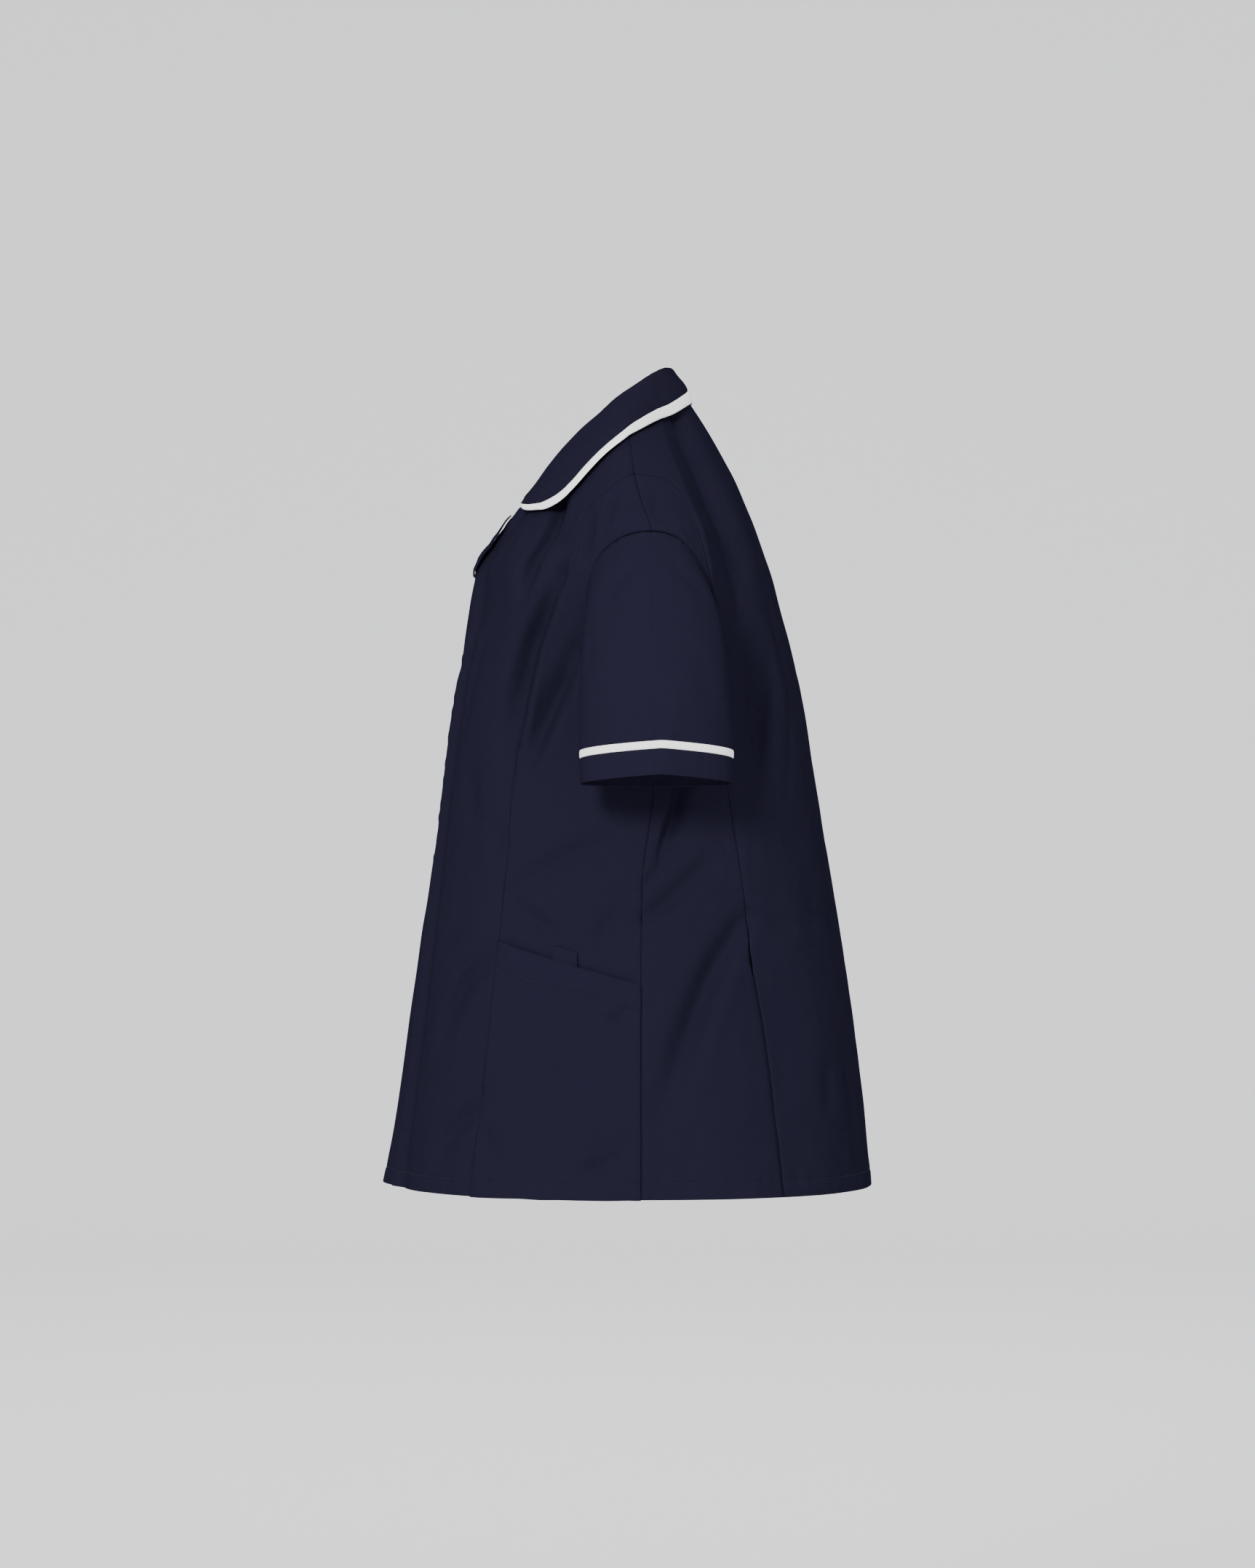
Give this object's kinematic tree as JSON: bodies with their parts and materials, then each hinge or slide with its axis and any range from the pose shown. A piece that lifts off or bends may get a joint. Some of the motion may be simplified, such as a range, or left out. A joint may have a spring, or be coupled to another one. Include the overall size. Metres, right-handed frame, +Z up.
{
  "type": "short-sleeved work tunic",
  "caption": "Navy short-sleeved work tunic with a V neck, white-trimmed collar and cuffs, shaped seams and hip pockets, filled out as worn.",
  "frame": {"origin": "midway between the two points where the shoulder seams meet the neck seam, where the wearer's shoulders carry the tunic", "axes": "+Z up along the body, -Y the way the front faces, +X the wearer's left"},
  "size_m": [0.536, 0.4325, 0.7254],
  "materials": {
    "navy_cloth": "fine plain weave polyester and cotton, matt with a faint sheen",
    "white_trim": "smooth white woven trim, matt"
  },
  "bodies": {
    "root": {"left_centre_front": "navy_cloth", "right_centre_front": "navy_cloth", "left_side_front": "navy_cloth", "left_side_back": "navy_cloth", "right_side_front": "navy_cloth", "right_side_back": "navy_cloth", "centre_back": "navy_cloth", "left_sleeve": "navy_cloth", "left_sleeve_trim": "white_trim", "left_cuff_band": "navy_cloth", "right_sleeve": "navy_cloth", "right_sleeve_trim": "white_trim", "right_cuff_band": "navy_cloth", "collar": "navy_cloth", "collar_trim": "white_trim", "left_pocket": "navy_cloth", "right_pocket": "navy_cloth", "pen_loop": "navy_cloth", "left_neck_facing": "navy_cloth", "right_neck_facing": "navy_cloth"}
  },
  "joints": []
}
